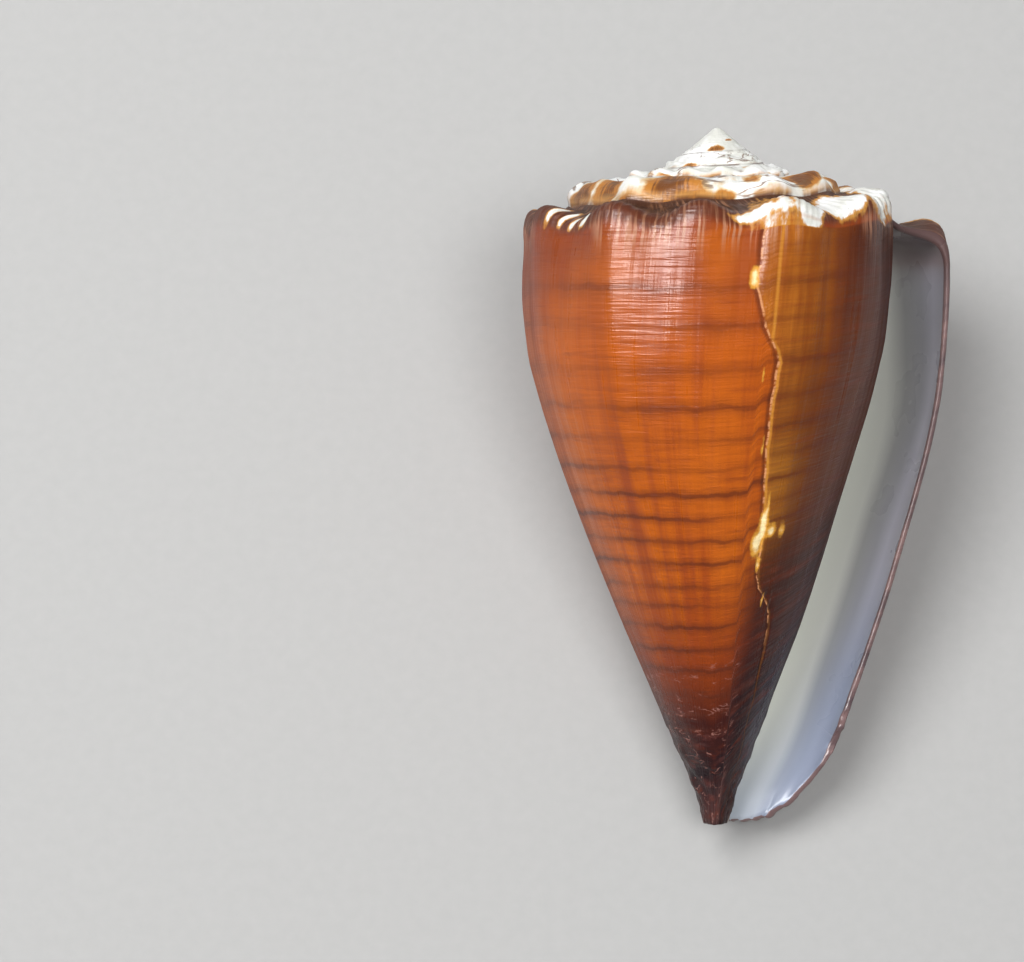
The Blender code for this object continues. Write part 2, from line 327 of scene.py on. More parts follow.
# Swells of the side and of the part below the shoulder: height, length in degrees of turn and
# in depth, and layer of the drift.
SIDE_SWELLS = ((0.035, 4.3, 30.0, 5), (0.02, 1.7, 14.0, 6), (0.03, 24.0, 9.0, 9))
SHOULDER_SWELLS = ((0.045, 9.0, 2.6, 16), (0.018, 3.2, 0.9, 17))
square = outward(wound)
last = ease((row_angles + 560.0) / 160.0)[:, None]
on_ramp = np.clip(profile / 1.2, 0.0, 1.0) * ease((5.6 - profile) / 1.4)
ridge_phase = row_angle / RIDGE_SPACING + 0.55 * drift(row_angle / 9.0, profile[None, :] / 9.0, 1)
ridges = np.abs(np.mod(ridge_phase, 1.0) - 0.5) * 4 - 1
ridge_height = RIDGE_HEIGHT * (0.55 + 0.45 * drift(row_angle / 14.0, 0.0, 2))
relief = last * on_ramp[None, :] * ridges * ridge_height
older = ease((row_angles + 1900.0) / 700.0) * ease((-290.0 - row_angles) / 70.0)
rugged = (0.009 * radius + 0.13) * older[:, None] * on_ramp[None, :]
relief = relief + rugged * drift(row_angle / 17.0, profile[None, :] / 0.9, 13)
lumps = drift(row_angle / 7.0 + profile[None, :], profile[None, :] / 0.7, 14)
relief = relief + 0.75 * rugged * lumps
side = ease((profile - 5.0) / 1.0)[None, :]
lengthwise = side * np.clip(radius / 14.0, 0.0, 1.0) ** 2
for height, long, deep, layer in SIDE_SWELLS:
    relief = relief + lengthwise * height * drift(row_angle / long, depth / deep, layer)
below_shoulder = side * ease((30.0 - depth) / 14.0) * last
for height, long, deep, layer in SHOULDER_SWELLS:
    relief = relief + below_shoulder * height * drift(row_angle / long, depth / deep, layer)
scar_line = np.interp(depth, SCAR_DEPTHS, SCAR_ANGLES) + 0.5 * drift(depth / 0.9, 0.0, 8)
scar_line = scar_line + 0.9 * drift(depth / 1.9, 0.0, 15) * ease((depth - 16.0) / 6.0)
behind_scar = scar_line - row_angle
scar_fade = ease((50.0 - depth) / 8.0) * side
old_panel = ease(behind_scar / 1.6 + 0.5) * ease(1.6 - behind_scar / 70.0)
scar_edge = np.exp(-((behind_scar / 0.9) ** 2))
relief = relief + scar_fade * (SCAR_STEP * old_panel - SCAR_STEP * scar_edge)
behind_groove = GROOVE_ANGLE + 1.2 * drift(depth / 9.0, 0.0, 10) - row_angle
groove = np.exp(-np.abs(behind_groove) / np.where(behind_groove > 0, 2.4, 0.9))
relief = relief - side * GROOVE_DEPTH * groove * ease((57.0 - depth) / 10.0)
wrinkled = ease((depth - 47.0) / 8.0) * side
slant = row_angle / 21.0
wrinkles = drift(depth / 0.8 + slant, row_angle / 24.0, 12)
relief = relief + wrinkled * WRINKLE_HEIGHT * wrinkles
fine_wrinkles = drift(depth / 0.45 - slant, row_angle / 13.0, 18)
relief = relief + wrinkled * FINE_WRINKLE_HEIGHT * fine_wrinkles
relief[:, SUTURE_AT] = 0.0
wound = wound + square * relief[:, :, None]
wound[ROWS_IN_A_TURN:, SUTURE_AT] = wound[:-ROWS_IN_A_TURN, SIDE_TOP]

# Inner face of the hollow last whorl. Its ceiling starts from the old wall under the suture.
hollow_angles = row_angles[HOLLOW_END:]
thickness = LIP_THICKNESS + (WALL_THICKNESS - LIP_THICKNESS) * ease(
    -hollow_angles / THICKENING_ANGLE
)
stations = [
    inner_station(hollow_angles + lead, at, thickness) for at, lead in enumerate(EDGE_LEADS)
]
hollow_radius = along_profile([place[0] for place in stations])
hollow_depth = along_profile([place[1] for place in stations])
hollow = rounded(hollow_radius, hollow_depth, angle[HOLLOW_END:])
hollow[:, SUTURE_AT] = wound[HOLLOW_END - ROWS_IN_A_TURN : LIP + 1 - ROWS_IN_A_TURN, CEILING]

# Small chips along the rim of the base, the same on both faces of the wall.
BASE_CHIP_HEIGHT = 0.30
base_rows = row_angles[NOTCH : LIP + 1]
chipping = np.clip(drift(base_rows / 2.6, 0.0, 19), 0.0, 1.0)
base_chips = BASE_CHIP_HEIGHT * chipping * ease((base_rows - NOTCH_ANGLE) / 20.0)
near_base = ease((profile - 17.0) / 1.0)
wound[NOTCH:, :, 2] -= base_chips[:, None] * near_base
hollow[NOTCH - HOLLOW_END :, :, 2] -= base_chips[:, None] * near_base

# Places and pattern values of every sheet, and the mesh that the sheets are sewn into. The
# growth map holds turns back from the lip and the way along the profile. The bands map holds
# the number of dark spiral lines passed and the depth they are measured in. The marks map
# holds how brown and how white the painted patches are. The spiral lines drift down the side
# as the shell grows, by the shares in BAND_DRIFT.
BAND_DEPTHS = (
    *(13.7, 16.9, 20.7, 23.8, 26.6, 29.1, 31.3, 33.3, 35.3, 37.2),
    *(39.4, 41.0, 42.9, 45.0, 46.8, 49.2, 50.8, 52.3, 53.9),
)
BAND_DRIFT_ANGLES = (
    -360.0, -333.0, -284.0, -282.0, -276.0, -268.0, -202.0, -165.0, -90.0, -40.0, 0.0
)
BAND_DRIFT = (0.84, 0.875, 0.945, 0.972, 0.975, 0.98, 0.98, 1.0, 1.075, 1.124, 1.165)
band_depth = depth / np.interp(row_angles, BAND_DRIFT_ANGLES, BAND_DRIFT)[:, None]
first_band = (band_depth - BAND_DEPTHS[0]) / 3.2
last_band = len(BAND_DEPTHS) - 1 + (band_depth - BAND_DEPTHS[-1]) / 1.6
bands = np.interp(band_depth, BAND_DEPTHS, range(len(BAND_DEPTHS)))
bands = np.where(band_depth < BAND_DEPTHS[0], first_band, bands)
bands = np.where(band_depth > BAND_DEPTHS[-1], last_band, bands)
turns = np.broadcast_to(row_angle / FULL_TURN, depth.shape)
way = np.broadcast_to(
    np.where(profile < 5, profile / 5.0, 1.0 + (profile - 5.0) / 13.0), depth.shape
)

# Painted patches, each at a turn angle and station of the profile, with its half sizes in
# degrees and stations, and its strength.
WHITE_PATCHES = (
    (-13.0, 3.6, 6.0, 1.3, 0.7),
    (-50.0, 3.7, 10.0, 1.7, 1.0),
    (-62.0, 1.6, 8.0, 1.4, 0.9),
    (-80.0, 3.3, 5.0, 0.8, 0.6),
    (-93.0, 1.3, 8.0, 1.2, 0.8),
    (-116.0, 3.9, 9.0, 1.8, 1.0),
    (-128.0, 2.0, 6.0, 1.2, 0.9),
    (-138.0, 3.4, 6.0, 0.9, 0.7),
    (-158.0, 3.0, 7.0, 0.9, 0.7),
    (-184.0, 2.4, 6.0, 1.2, 0.7),
    (-203.0, 3.1, 1.3, 1.4, 0.85),
    (-208.0, 3.3, 1.3, 1.3, 0.85),
    (-213.0, 3.4, 1.4, 1.2, 0.85),
    (-218.0, 3.3, 1.8, 1.2, 0.9),
    (-276.0, 3.9, 8.0, 0.7, 0.9),
    (-286.0, 3.2, 12.0, 3.2, 0.62),
    (-295.0, 3.6, 6.0, 1.9, 1.0),
    (-312.0, 2.6, 12.0, 1.9, 0.95),
    (-334.0, 3.4, 12.0, 2.1, 1.0),
    (-352.0, 2.8, 9.0, 2.2, 0.9),
)
BROWN_PATCHES = (
    (-380.0, 2.2, 6.0, 1.3, 0.8),
    (-407.0, 3.4, 11.0, 2.2, 1.0),
    (-435.0, 3.6, 6.0, 1.2, 0.8),
    (-455.0, 4.6, 9.0, 1.2, 0.9),
    (-467.0, 4.2, 9.0, 1.5, 1.0),
    (-484.0, 4.9, 8.0, 0.9, 1.0),
    (-496.0, 3.0, 7.0, 1.6, 0.9),
    (-522.0, 3.6, 9.0, 1.8, 0.9),
    (-551.0, 4.4, 11.0, 1.9, 1.0),
    (-571.0, 3.9, 8.0, 1.9, 1.0),
    (-592.0, 5.0, 15.0, 1.1, 0.62),
    (-603.0, 3.3, 12.0, 1.9, 1.1),
    (-607.0, 4.9, 15.0, 1.3, 0.75),
    (-628.0, 4.7, 5.0, 0.8, 0.9),
    (-639.0, 3.0, 5.0, 0.7, 0.7),
    (-652.0, 4.4, 7.0, 1.2, 0.6),
    (-671.0, 2.8, 11.0, 1.3, 1.05),
    (-688.0, 4.7, 5.0, 0.8, 0.8),
    (-702.0, 3.8, 7.0, 1.4, 0.8),
    (-943.0, 4.5, 6.0, 0.9, 0.8),
    (-1010.0, 2.0, 6.0, 0.8, 0.8),
    (-1126.0, 3.7, 9.0, 1.0, 0.9),
    (-1312.0, 4.4, 8.0, 1.1, 1.0),
    (-1482.0, 4.3, 7.0, 1.0, 0.8),
    (-1552.0, 4.2, 12.0, 1.2, 1.0),
    (-1577.0, 1.2, 11.0, 1.2, 0.9),
    (-1701.0, 3.3, 16.0, 1.8, 1.0),
    (-1864.0, 0.9, 14.0, 0.9, 0.8),
    (-2104.0, 3.7, 15.0, 1.3, 0.8),
)


def painted(patches):
    """The strongest of the soft-edged patches at each row and column."""
    field = np.zeros_like(depth)
    for centre, station, half_angle, half_stations, strength in patches:
        turned_off = ((row_angle - centre) / half_angle) ** 2
        reach = turned_off + ((profile - station) / half_stations) ** 2
        field = np.maximum(field, strength * np.exp(-0.7 * reach**1.5))
    return field


older_whorl = ease((-345.0 - row_angles) / 25.0)[:, None]
whiteness = np.maximum(painted(WHITE_PATCHES), older_whorl)
valley = 0.5 - 0.5 * np.cos(2 * math.pi * knob_count(row_angles - 4.0))
browning = np.maximum(
    painted(BROWN_PATCHES), 0.30 * valley[:, None] * ease((row_angles + 1400.0) / 900.0)[:, None]
)
browning = browning * older_whorl
# On the side of the last whorl the first mark is instead how far behind the healed break a
# place is, in degrees, and the second shows the pale chips: turn angle, depth, half sizes in
# degrees and in depth, and strength.
PALE_CHIPS = (
    (-278.0, 12.6, 1.8, 0.9, 1.0),
    (-283.5, 20.4, 0.8, 0.9, 0.6),
    (-286.3, 26.5, 0.8, 1.2, 0.6),
    (-291.6, 31.4, 1.0, 1.5, 0.7),
    (-290.8, 33.2, 2.3, 1.3, 1.0),
    (-288.6, 34.8, 3.4, 1.1, 1.0),
    (-294.6, 33.6, 3.2, 0.6, 0.85),
    (-300.0, 33.4, 2.4, 0.8, 0.75),
    (-290.6, 36.6, 1.3, 0.9, 0.8),
    (-296.2, 39.5, 0.9, 0.6, 0.7),
    (-75.0, 41.4, 2.2, 0.5, 0.9),
)
chips = np.zeros_like(depth)
for chip_angle, chip_depth, half_angle, half_depth, strength in PALE_CHIPS:
    reach = ((row_angle - chip_angle) / half_angle) ** 2 + ((depth - chip_depth) / half_depth) ** 2
    chips = np.maximum(chips, strength * np.exp(-reach))
on_side = profile[None, :] >= SIDE_TOP_AT
whiteness = np.where(on_side, np.maximum(chips, whiteness * (profile < 5.4)), whiteness)
browning = np.where(on_side & (row_angle > -361.0), behind_scar, browning)

CHESTNUT_FACE, HOLLOW_FACE = 0, 1


def sew_on(shell, name, rows, columns, row_step, places, maps, finish, finer=None):
    """Lays one sheet of the pattern out flat, winds it into place, and adds it to the shell."""
    flat = bmesh.new()
    across = (rows[1] - rows[0]) // row_step
    down = columns[1] - columns[0]
    bmesh.ops.create_grid(flat, x_segments=across, y_segments=down, size=0.5)
    bmesh.ops.translate(flat, verts=flat.verts, vec=(0.5, 0.5, 0.0))
    bmesh.ops.scale(flat, verts=flat.verts, vec=(across * row_step, down, 1.0))
    bmesh.ops.translate(flat, verts=flat.verts, vec=(rows[0], columns[0], 0.0))
    if finer:
        first, final, column = finer
        edges = [
            edge
            for edge in flat.edges
            if all(
                abs(v.co.y - column) < 0.1 and first - 0.1 < v.co.x < final + 0.1
                for v in edge.verts
            )
        ]
        bmesh.ops.subdivide_edges(flat, edges=edges, cuts=row_step - 1)
    sheet = bpy.data.meshes.new(name)
    flat.to_mesh(sheet)
    flat.free()
    cell = np.empty(len(sheet.vertices) * 3)
    sheet.vertices.foreach_get("co", cell)
    row, column = np.round(cell.reshape(-1, 3)[:, :2]).astype(int).T
    corner = np.empty(len(sheet.loops), int)
    sheet.loops.foreach_get("vertex_index", corner)
    for map_name, (u, v) in maps.items():
        layer = sheet.uv_layers.new(name=map_name)
        values = np.stack([u[row, column][corner], v[row, column][corner]], axis=-1)
        layer.data.foreach_set("uv", values.ravel())
    sheet.vertices.foreach_set("co", (places[row, column] * MM).ravel())
    sheet.polygons.foreach_set("material_index", np.full(len(sheet.polygons), finish))
    shell.from_mesh(sheet)
    bpy.data.meshes.remove(sheet)


wound_maps = {
    "growth": (turns, way),
    "bands": (bands, band_depth),
    "marks": (browning, whiteness),
}
old_notch = NOTCH - ROWS_IN_A_TURN
old_end = HOLLOW_END - ROWS_IN_A_TURN
shell = bmesh.new()
young = (YOUNG_WHORLS - ROWS_IN_A_TURN, YOUNG_WHORLS, SIDE_TOP)
sew_on(shell, "spire", (0, YOUNG_WHORLS), (0, SIDE_TOP), 4, wound, wound_maps, CHESTNUT_FACE, young)
sew_on(
    shell, "ramp", (YOUNG_WHORLS, LAST_WHORL), (0, SIDE_TOP), 1, wound, wound_maps, CHESTNUT_FACE
)
sew_on(shell, "last whorl", (LAST_WHORL, LIP), (0, BASE), 1, wound, wound_maps, CHESTNUT_FACE)
sew_on(
    shell, "old wall", (old_end, LAST_WHORL), (CEILING, FLOOR), 2, wound, wound_maps, CHESTNUT_FACE
)
sew_on(
    shell, "old base", (old_notch, LAST_WHORL), (FLOOR, BASE), 2, wound, wound_maps, CHESTNUT_FACE
)

# The inside of the hollow, its floor and the step at the notch. Here the bands map holds how
# far back from the lip's edge a place is, and its depth.
lip_row = LIP - HOLLOW_END
notch_row = NOTCH - HOLLOW_END
hollow_turns = np.broadcast_to(hollow_angles[:, None] / FULL_TURN, hollow_depth.shape)
back_from_lip = -np.radians(hollow_angles)[:, None] * hollow_radius
hollow_way = way[: lip_row + 1]
bare = np.zeros_like(hollow_depth)
hollow_maps = {
    "growth": (hollow_turns, hollow_way),
    "bands": (back_from_lip, hollow_depth),
    "marks": (bare, bare),
}
rim = (notch_row, lip_row, BASE)
sew_on(shell, "hollow", (0, lip_row), (0, FLOOR), 2, hollow, hollow_maps, HOLLOW_FACE)
sew_on(
    shell,
    "hollow base",
    (notch_row, lip_row),
    (FLOOR, BASE),
    2,
    hollow,
    hollow_maps,
    HOLLOW_FACE,
    rim,
)


def between(first, second, shares, bulge=0.0, direction=(0.0, 0.0, 0.0)):
    """Rows of points from one line of points to the other, bulging in a direction half way."""
    shares = np.asarray(shares)[:, None, None]
    bulging = 4 * shares * (1 - shares) * bulge * np.asarray(direction)
    return first + shares * (second - first) + bulging


def same_maps(places, turn, line_way, line_depth, back):
    """Map values of a narrow closing sheet, which hardly change across it."""
    shape = places.shape[:2]
    return {
        "growth": (np.broadcast_to(turn, shape), np.broadcast_to(line_way, shape)),
        "bands": (np.broadcast_to(back, shape), np.broadcast_to(line_depth, shape)),
        "marks": (np.zeros(shape), np.zeros(shape)),
    }


thirds = np.linspace(0.0, 1.0, 4)
floor_sheet = between(hollow[: notch_row + 1, FLOOR], wound[old_end : old_notch + 1, FLOOR], thirds)
floor_sheet = floor_sheet.swapaxes(0, 1)
floor_maps = same_maps(floor_sheet, hollow_turns[: notch_row + 1, :1], way[0, FLOOR], 50.0, 20.0)
sew_on(shell, "floor", (0, notch_row), (0, 3), 2, floor_sheet, floor_maps, HOLLOW_FACE)
step_sheet = between(hollow[notch_row, FLOOR:], wound[old_notch, FLOOR:], thirds)
step_maps = same_maps(step_sheet, NOTCH_ANGLE / FULL_TURN, way[0, FLOOR:], 52.0, 20.0)
sew_on(shell, "notch step", (0, 3), (0, BASE_COLUMNS), 1, step_sheet, step_maps, HOLLOW_FACE)

# The thin rounded edges: the lip from the suture down to the base, and the rim of the base.
LIP_BULGE = 0.2
quarters = np.linspace(0.0, 1.0, CORNER_COLUMNS + 1)
outer_line, inner_line = wound[LIP], hollow[lip_row]
forward = wound[LIP] - wound[LIP - 2]
forward = forward / np.maximum(np.linalg.norm(forward, axis=1, keepdims=True), 1e-9)
ends = np.minimum(np.arange(BASE + 1) / 3.0, (BASE - np.arange(BASE + 1)) / 3.0).clip(0.0, 1.0)
lip_sheet = between(outer_line, inner_line, quarters, LIP_BULGE * ends[:, None], forward)
lip_sheet[:, SUTURE_AT] = wound[LAST_WHORL, SIDE_TOP : CEILING + 1]
lip_maps = same_maps(lip_sheet, 0.0, way[0], depth[LIP], 0.0)
sew_on(shell, "lip edge", (0, CORNER_COLUMNS), (0, BASE), 1, lip_sheet, lip_maps, HOLLOW_FACE)
rim_rows = np.arange(LIP - NOTCH + 1)
ends = np.minimum(rim_rows / 6.0, rim_rows[::-1] / 6.0).clip(0.0, 1.0)
rim_sheet = between(
    wound[NOTCH:, BASE], hollow[notch_row:, BASE], quarters, LIP_BULGE * ends[:, None], (
        0.0, 0.0, -1.0
    )
).swapaxes(0, 1)
rim_maps = same_maps(rim_sheet, hollow_turns[notch_row:, :1], way[0, BASE], 60.0, 0.0)
sew_on(
    shell, "base rim", (0, LIP - NOTCH), (0, CORNER_COLUMNS), 1, rim_sheet, rim_maps, HOLLOW_FACE
)

# The seams are closed, and the apex and tip are drawn in to a point on the axis.
AXIS_REACH = 2.5
bmesh.ops.remove_doubles(shell, verts=shell.verts, dist=1e-8)
open_edges = [edge for edge in shell.edges if edge.is_boundary]
closings = bmesh.ops.holes_fill(shell, edges=open_edges, sides=0)["faces"]
growth_map = shell.loops.layers.uv["growth"]
bands_map = shell.loops.layers.uv["bands"]
marks_map = shell.loops.layers.uv["marks"]
for closing in closings:
    middle = closing.calc_center_median()
    if math.hypot(middle.x, middle.y) > AXIS_REACH * MM:
        closing.material_index = HOLLOW_FACE
        continue
    at_apex = middle.z > -TIP_DEPTH / 2 * MM
    poked = bmesh.ops.poke(shell, faces=[closing])
    poked["verts"][0].co = (0.0, 0.0, 0.0 if at_apex else -TIP_DEPTH * MM)
    for face in poked["faces"]:
        face.material_index = CHESTNUT_FACE
        for loop in face.loops:
            loop[growth_map].uv = (OLDEST_ANGLE / FULL_TURN, 0.0) if at_apex else (-0.75, 2.0)
            loop[bands_map].uv = (-4.0, 0.0) if at_apex else (23.0, 60.0)
            loop[marks_map].uv = (0.0, 1.0) if at_apex else (0.0, 0.0)

# It lies on its back with the apex end tilted up, worn flat where it touches the ground.
REST_TILT = 16.2
REST_PLACE = (-1.7289, 28.8513, 22.7033)
LAID = Matrix.Rotation(math.radians(REST_TILT - 90.0), 4, "X")
PLACE = Matrix.Translation(Vector(REST_PLACE) * MM)
shell.transform(PLACE @ LAID)
for point in shell.verts:
    point.co.z = max(point.co.z, 0.0)
bmesh.ops.recalc_face_normals(shell, faces=shell.faces)
for face in shell.faces:
    face.smooth = True
shell_mesh = bpy.data.meshes.new("wound_shell")
shell.to_mesh(shell_mesh)
shell.free()
wound_shell = bpy.data.objects.new("wound_shell", shell_mesh)
bpy.context.scene.collection.objects.link(wound_shell)


class Finish:
    """A material being made up: its nodes are added in order, each taking earlier results."""

    def __init__(self, name):
        self.material = bpy.data.materials.new(name)
        self.material.use_nodes = True
        self.nodes = self.material.node_tree.nodes
        self.links = self.material.node_tree.links
        self.surface = self.nodes["Principled BSDF"]

    def set(self, socket, value):
        if isinstance(value, bpy.types.NodeSocket):
            self.links.new(value, socket)
        elif isinstance(value, tuple) and len(value) == 3 and socket.type == "RGBA":
            socket.default_value = (*value, 1.0)
        else:
            socket.default_value = value

    def put(self, kind, inputs, output=0, **settings):
        node = self.nodes.new(kind)
        for name, value in settings.items():
            setattr(node, name, value)
        for name, value in inputs.items():
            self.set(node.inputs[name], value)
        return node.outputs[output]

    def sums(self, operation, first, second=0.0, third=0.0):
        inputs = {0: first, 1: second, 2: third}
        return self.put("ShaderNodeMath", inputs, operation=operation)

    def times(self, first, second):
        return self.sums("MULTIPLY", first, second)

    def split(self, vector):
        node = self.nodes.new("ShaderNodeSeparateXYZ")
        self.links.new(vector, node.inputs[0])
        return node.outputs[0], node.outputs[1], node.outputs[2]

    def pattern_map(self, name):
        return self.split(self.put("ShaderNodeUVMap", {}, uv_map=name))[:2]

    def at(self, x, y, z=0.0):
        return self.put("ShaderNodeCombineXYZ", {0: x, 1: y, 2: z})

    def mottle(self, place, scale, detail=2.0, roughness=0.5):
        """Soft cloudy noise from 0 to 1."""
        inputs = {"Vector": place, "Scale": scale, "Detail": detail, "Roughness": roughness}
        return self.put("ShaderNodeTexNoise", inputs)

    def rise(self, value, low, high, start=0.0, end=1.0):
        """Goes smoothly from start to end as the value goes from low to high."""
        inputs = {0: value, 1: low, 2: high, 3: start, 4: end}
        return self.put("ShaderNodeMapRange", inputs, interpolation_type="SMOOTHSTEP")

    def mix(self, share, first, second, way="MIX"):
        node = self.nodes.new("ShaderNodeMix")
        node.data_type = "RGBA"
        node.blend_type = way
        for socket, value in (
            (node.inputs[0], share), (node.inputs[6], first), (node.inputs[7], second)
        ):
            self.set(socket, value)
        return node.outputs[2]

    def shades(self, value, stops, interpolation="LINEAR"):
        """Colours read along a line of (place, colour) stops."""
        node = self.nodes.new("ShaderNodeValToRGB")
        ramp = node.color_ramp
        ramp.interpolation = interpolation
        while len(ramp.elements) < len(stops):
            ramp.elements.new(0.5)
        for element, (place, colour) in zip(ramp.elements, stops):
            element.position = place
            element.color = (*colour, 1.0)
        self.links.new(value, node.inputs[0])
        return node.outputs[0]


# Outer face: a glossy chestnut glaze with darker spiral lines and soft lengthwise streaks, a
# white spire blotched with brown, and a dark purple-brown tip.
glaze = Finish("chestnut glaze")
turn, along = glaze.pattern_map("growth")
band, level = glaze.pattern_map("bands")
brown_mark, white_mark = glaze.pattern_map("marks")
position = glaze.put("ShaderNodeTexCoord", {}, output=3)

# Colour down the side, from the reddish shoulder through orange-brown to the tip, whose pale worn
# ridges also serve as painted glints.
STREAK_RED = (0.24, 0.034, 0.004)
GLOW_ORANGE = (0.54, 0.125, 0.006)
TIP_UMBER = (0.105, 0.034, 0.030)
WORN_RIDGE_AND_GLINT = (0.44, 0.205, 0.170)
SIDE_COLOURS = (
    (0.00, (0.21, 0.038, 0.009)),
    (0.19, (0.24, 0.044, 0.007)),
    (0.32, (0.42, 0.084, 0.005)),
    (0.64, (0.44, 0.094, 0.005)),
    (0.77, (0.21, 0.033, 0.004)),
    (0.86, (0.045, 0.008, 0.005)),
    (0.94, (0.014, 0.006, 0.008)),
    (1.00, (0.060, 0.024, 0.022)),
)
level_wave = glaze.mottle(glaze.at(glaze.times(turn, 16.0), 0.0, 3.0), 1.0)
level_shift = glaze.sums("MULTIPLY_ADD", level_wave, 3.0, -1.5)
body = glaze.shades(glaze.sums("DIVIDE", glaze.sums("ADD", level, level_shift), 60.0), SIDE_COLOURS)
above_tip = glaze.rise(level, 40.0, 51.0, 1.0, 0.0)
streak_place = glaze.at(glaze.times(turn, 46.0), glaze.times(along, 2.2), 0.0)
streaks = glaze.mottle(streak_place, 1.0, 4.0, 0.6)
streak_share = glaze.times(glaze.rise(streaks, 0.40, 0.72, 0.0, 0.75), above_tip)
body = glaze.mix(streak_share, body, STREAK_RED)
glow_place = glaze.at(glaze.times(turn, 11.0), glaze.times(along, 3.0), 5.0)
glow = glaze.rise(glaze.mottle(glow_place, 1.0, 2.0), 0.45, 0.70, 0.0, 0.5)
body = glaze.mix(glaze.times(glow, above_tip), body, GLOW_ORANGE)
tip_place = glaze.at(glaze.times(turn, 9.0), glaze.times(level, 0.9), 6.0)
tip_share = glaze.times(
    glaze.rise(glaze.mottle(tip_place, 1.0, 4.0, 0.6), 0.52, 0.72),
    glaze.rise(level, 45.0, 54.0, 0.0, 0.7),
)
body = glaze.mix(tip_share, body, TIP_UMBER)
# Pale worn ridges on the tip's wrinkles, drawn also as painted glints.
ridge_place = glaze.at(glaze.sums("MULTIPLY_ADD", level, 0.30, glaze.times(turn, 12.0)), level, 8.0)
ridge_line = glaze.sums(
    "ABSOLUTE", glaze.sums("ADD", glaze.mottle(ridge_place, 0.9, 3.0, 0.6), -0.5)
)
ridge_where = glaze.rise(
    glaze.mottle(glaze.at(glaze.times(turn, 26.0), level, 1.0), 1.0, 2.0), 0.50, 0.60
)
ridge_glint_share = glaze.times(glaze.rise(ridge_line, 0.003, 0.018, 0.62, 0.0), ridge_where)
ridge_glint_share = glaze.times(ridge_glint_share, glaze.rise(level, 44.0, 49.0))
body = glaze.mix(ridge_glint_share, body, WORN_RIDGE_AND_GLINT)

# The ochre panel of older shell before the healed break: bright along the break, then ever
# darker towards the mouth. Below it both sides of the break darken to brown-black.
PANEL_STREAK = (0.30, 0.105, 0.012)
PANEL_DEEP = (0.055, 0.015, 0.004)
PANEL_OCHRE = (0.46, 0.185, 0.020)
BREAK_DUSK = (0.016, 0.006, 0.007)
on_side = glaze.rise(along, 1.0, 1.02)
panel_share = glaze.times(glaze.rise(brown_mark, -0.3, 0.3), on_side)
panel_tint = glaze.shades(
    glaze.rise(turn, -0.96, -0.79),
    (
        (0.0, (0.030, 0.009, 0.007)),
        (0.34, (0.050, 0.012, 0.005)),
        (0.68, (0.14, 0.032, 0.004)),
        (1.0, (0.46, 0.150, 0.014)),
    ),
)
panel_tint = glaze.mix(
    glaze.rise(streaks, 0.40, 0.66, 0.0, 0.55), panel_tint, PANEL_STREAK, "MULTIPLY"
)
panel_tint = glaze.mix(glaze.rise(level, 12.0, 32.0, 0.0, 0.74), panel_tint, PANEL_DEEP)
ochre_low = glaze.times(glaze.rise(level, 26.0, 30.0), glaze.rise(level, 35.5, 39.0, 1.0, 0.0))
ochre_low = glaze.times(ochre_low, glaze.rise(turn, -0.865, -0.800, 0.0, 0.50))
panel_tint = glaze.mix(ochre_low, panel_tint, PANEL_OCHRE)
panel_keep = glaze.times(panel_share, glaze.rise(level, 38.0, 50.0, 0.88, 0.0))
body = glaze.mix(panel_keep, body, panel_tint)
dusk = glaze.times(glaze.rise(turn, -0.825, -0.765, 1.0, 0.0), glaze.rise(level, 32.0, 43.0))
body = glaze.mix(glaze.times(dusk, 0.88), body, BREAK_DUSK)

# The dark spiral lines: each a thin line in a soft shadow, some stronger than others.
LINE_BROWN = (0.090, 0.017, 0.006)
THREAD_BROWN = (0.16, 0.027, 0.008)
wobble_place = glaze.at(glaze.times(turn, 34.0), glaze.times(level, 0.35), 9.0)
wobble = glaze.sums("MULTIPLY_ADD", glaze.mottle(wobble_place, 1.0, 3.0), 0.44, -0.22)
counted = glaze.sums("ADD", band, wobble)
whole = glaze.sums("ROUND", counted)
off_line = glaze.sums("ABSOLUTE", glaze.sums("SUBTRACT", counted, whole))
fine_line = glaze.rise(off_line, 0.03, 0.17, 0.9, 0.0)
soft_line = glaze.rise(off_line, 0.05, 0.38, 0.5, 0.0)
weight_place = glaze.at(glaze.times(whole, 5.37), glaze.times(turn, 5.0), 2.0)
weight = glaze.rise(glaze.mottle(weight_place, 1.0, 1.0), 0.36, 0.62, 0.35, 1.0)
shown = glaze.rise(level, 9.5, 14.0)
shown = glaze.times(shown, glaze.rise(level, 20.0, 34.0, 0.62, 0.9))
shown = glaze.times(shown, glaze.rise(level, 48.0, 56.0, 1.0, 0.2))
line_share = glaze.times(glaze.sums("MAXIMUM", fine_line, soft_line), glaze.times(weight, shown))
body = glaze.mix(line_share, body, LINE_BROWN)
threads_place = glaze.at(glaze.times(turn, 14.0), glaze.times(level, 1.15), 4.0)
threads = glaze.mottle(threads_place, 1.0, 3.0, 0.6)
body = glaze.mix(glaze.rise(threads, 0.5, 0.75, 0.0, 0.4), body, THREAD_BROWN)
